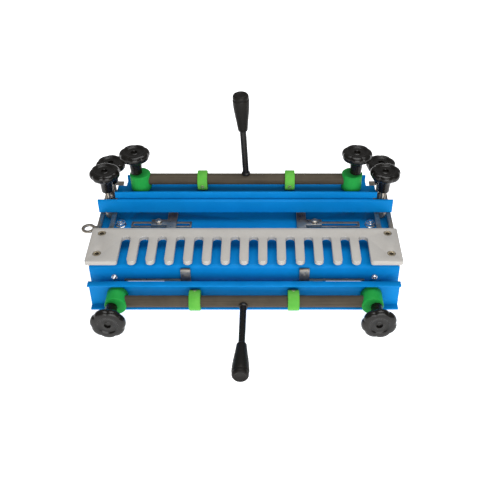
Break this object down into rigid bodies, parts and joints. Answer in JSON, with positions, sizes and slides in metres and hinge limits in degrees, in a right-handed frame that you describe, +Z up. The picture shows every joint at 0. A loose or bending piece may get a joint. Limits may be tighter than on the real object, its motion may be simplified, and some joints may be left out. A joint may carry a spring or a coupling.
{
  "type": "dovetail jig",
  "caption": "Router dovetail jig: comb template on slotted brackets over a folded steel base, with cam-lever clamps on the top and front faces.",
  "frame": {"origin": "bottom centre of the whole object's box, on the plane its base stands on", "axes": "+X along the template to the right, +Y from the front clamp to the back, +Z up"},
  "size_m": [0.3986, 0.3126, 0.2361],
  "materials": {
    "blue_paint": "gloss paint",
    "zinc_steel": "bright zinc plate",
    "chrome": "polished plate",
    "cast_alloy": "satin cast plate with ground edges",
    "dark_rod": "dark oxide",
    "black_plastic": "moulded, semi-gloss",
    "green_plastic": "moulded, semi-gloss",
    "brass": "yellow zinc plate"
  },
  "bodies": {
    "base": {"base_frame": "blue_paint", "base_nut_left": "chrome", "base_nut_right": "chrome", "face_screw_left": "chrome", "face_screw_right": "chrome", "arm_stud_left_front": "zinc_steel", "arm_stud_left_back": "zinc_steel", "arm_stud_right_front": "zinc_steel", "arm_stud_right_back": "zinc_steel", "top_stud_left": "zinc_steel", "top_stud_right": "zinc_steel", "front_stud_left": "zinc_steel", "front_stud_right": "zinc_steel", "top_rail_left": "zinc_steel", "top_rail_right": "zinc_steel", "front_rail_left": "zinc_steel", "front_rail_right": "zinc_steel", "top_spring_left": "zinc_steel", "top_spring_right": "zinc_steel", "front_spring_left": "zinc_steel", "front_spring_right": "zinc_steel"},
    "template": {"template_comb": "cast_alloy", "template_arm_left": "zinc_steel", "template_arm_right": "zinc_steel", "eye_tab": "zinc_steel", "template_screw_left_front": "brass", "template_screw_left_back": "brass", "template_screw_right_front": "brass", "template_screw_right_back": "brass"},
    "top_carriage": {"top_block_left": "green_plastic", "top_block_right": "green_plastic"},
    "top_bar": {"top_channel": "blue_paint", "top_pressure_beam": "blue_paint"},
    "top_cam_shaft": {"top_cam_rod": "dark_rod", "top_cam_left": "green_plastic", "top_cam_right": "green_plastic", "top_lever": "black_plastic", "top_lever_grip": "black_plastic"},
    "top_knob_left_body": {"top_knob_left": "black_plastic"},
    "top_knob_right_body": {"top_knob_right": "black_plastic"},
    "front_carriage": {"front_block_left": "green_plastic", "front_block_right": "green_plastic"},
    "front_bar": {"front_channel": "blue_paint"},
    "front_cam_shaft": {"front_cam_rod": "dark_rod", "front_cam_left": "green_plastic", "front_cam_right": "green_plastic", "front_lever": "black_plastic", "front_lever_grip": "black_plastic"},
    "front_knob_left_body": {"front_knob_left": "black_plastic"},
    "front_knob_right_body": {"front_knob_right": "black_plastic"},
    "arm_knob_left_front_body": {"arm_knob_left_front": "black_plastic"},
    "arm_knob_left_back_body": {"arm_knob_left_back": "black_plastic"},
    "arm_knob_right_front_body": {"arm_knob_right_front": "black_plastic"},
    "arm_knob_right_back_body": {"arm_knob_right_back": "black_plastic"},
    "top_stop_left_body": {"top_stop_left": "zinc_steel"},
    "top_stop_right_body": {"top_stop_right": "zinc_steel"},
    "front_stop_left_body": {"front_stop_left": "zinc_steel"},
    "front_stop_right_body": {"front_stop_right": "zinc_steel"}
  },
  "joints": [
    {"name": "top_clamp_opening", "type": "slide", "parent": "base", "child": "top_carriage", "axis": [0, 0, 1], "range_m": [0, 0.01], "deforming": ["top_spring_left", "top_spring_right"]},
    {"name": "top_cam_turn", "type": "hinge", "parent": "top_carriage", "child": "top_cam_shaft", "pos_m": [0.00566, 0.10629, 0.1159], "axis": [-1, 0, 0], "range_deg": [0, 90]},
    {"name": "top_bar_press", "type": "slide", "parent": "top_carriage", "child": "top_bar", "axis": [0, 0, 1], "range_m": [0, 0.00141]},
    {"name": "top_knob_left_turn", "type": "hinge", "parent": "top_carriage", "child": "top_knob_left_body", "pos_m": [-0.13294, 0.10629, 0.1159], "axis": [0, 0, 1], "continuous": true},
    {"name": "top_knob_right_turn", "type": "hinge", "parent": "top_carriage", "child": "top_knob_right_body", "pos_m": [0.14426, 0.10629, 0.1159], "axis": [0, 0, 1], "continuous": true},
    {"name": "front_clamp_opening", "type": "slide", "parent": "base", "child": "front_carriage", "axis": [0, -1, 0], "range_m": [0, 0.015]},
    {"name": "front_cam_turn", "type": "hinge", "parent": "front_carriage", "child": "front_cam_shaft", "pos_m": [0.00466, -0.03621, 0.036], "axis": [-1, 0, 0], "range_deg": [0, 90]},
    {"name": "front_bar_press", "type": "slide", "parent": "front_carriage", "child": "front_bar", "axis": [0, -1, 0], "range_m": [0, 0.00141]},
    {"name": "front_knob_left_turn", "type": "hinge", "parent": "front_carriage", "child": "front_knob_left_body", "pos_m": [-0.15284, -0.03621, 0.036], "axis": [0, -1, 0], "continuous": true},
    {"name": "front_knob_right_turn", "type": "hinge", "parent": "front_carriage", "child": "front_knob_right_body", "pos_m": [0.16216, -0.03621, 0.036], "axis": [0, -1, 0], "continuous": true},
    {"name": "arm_knob_left_front_turn", "type": "hinge", "parent": "base", "child": "arm_knob_left_front_body", "pos_m": [-0.17094, 0.09549, 0.1142], "axis": [0, 0, 1], "continuous": true},
    {"name": "arm_knob_left_back_turn", "type": "hinge", "parent": "base", "child": "arm_knob_left_back_body", "pos_m": [-0.17094, 0.13529, 0.1142], "axis": [0, 0, 1], "continuous": true},
    {"name": "arm_knob_right_front_turn", "type": "hinge", "parent": "base", "child": "arm_knob_right_front_body", "pos_m": [0.18026, 0.09549, 0.1142], "axis": [0, 0, 1], "continuous": true},
    {"name": "arm_knob_right_back_turn", "type": "hinge", "parent": "base", "child": "arm_knob_right_back_body", "pos_m": [0.18026, 0.13529, 0.1142], "axis": [0, 0, 1], "continuous": true},
    {"name": "template_slide", "type": "slide", "parent": "base", "child": "template", "axis": [0, 1, 0], "range_m": [-0.012, 0.012]},
    {"name": "top_stop_left_slide", "type": "slide", "parent": "base", "child": "top_stop_left_body", "axis": [1, 0, 0], "range_m": [-0.028, 0.034]},
    {"name": "top_stop_right_slide", "type": "slide", "parent": "base", "child": "top_stop_right_body", "axis": [1, 0, 0], "range_m": [-0.014, 0.05]},
    {"name": "front_stop_left_slide", "type": "slide", "parent": "base", "child": "front_stop_left_body", "axis": [1, 0, 0], "range_m": [-0.05, 0.014]},
    {"name": "front_stop_right_slide", "type": "slide", "parent": "base", "child": "front_stop_right_body", "axis": [1, 0, 0], "range_m": [-0.015, 0.05]}
  ],
  "couplings": [
    {"joint": "top_cam_turn", "follows": "top_bar_press", "rad_per_m": 1111.1},
    {"joint": "front_cam_turn", "follows": "front_bar_press", "rad_per_m": 1111.1}
  ]
}
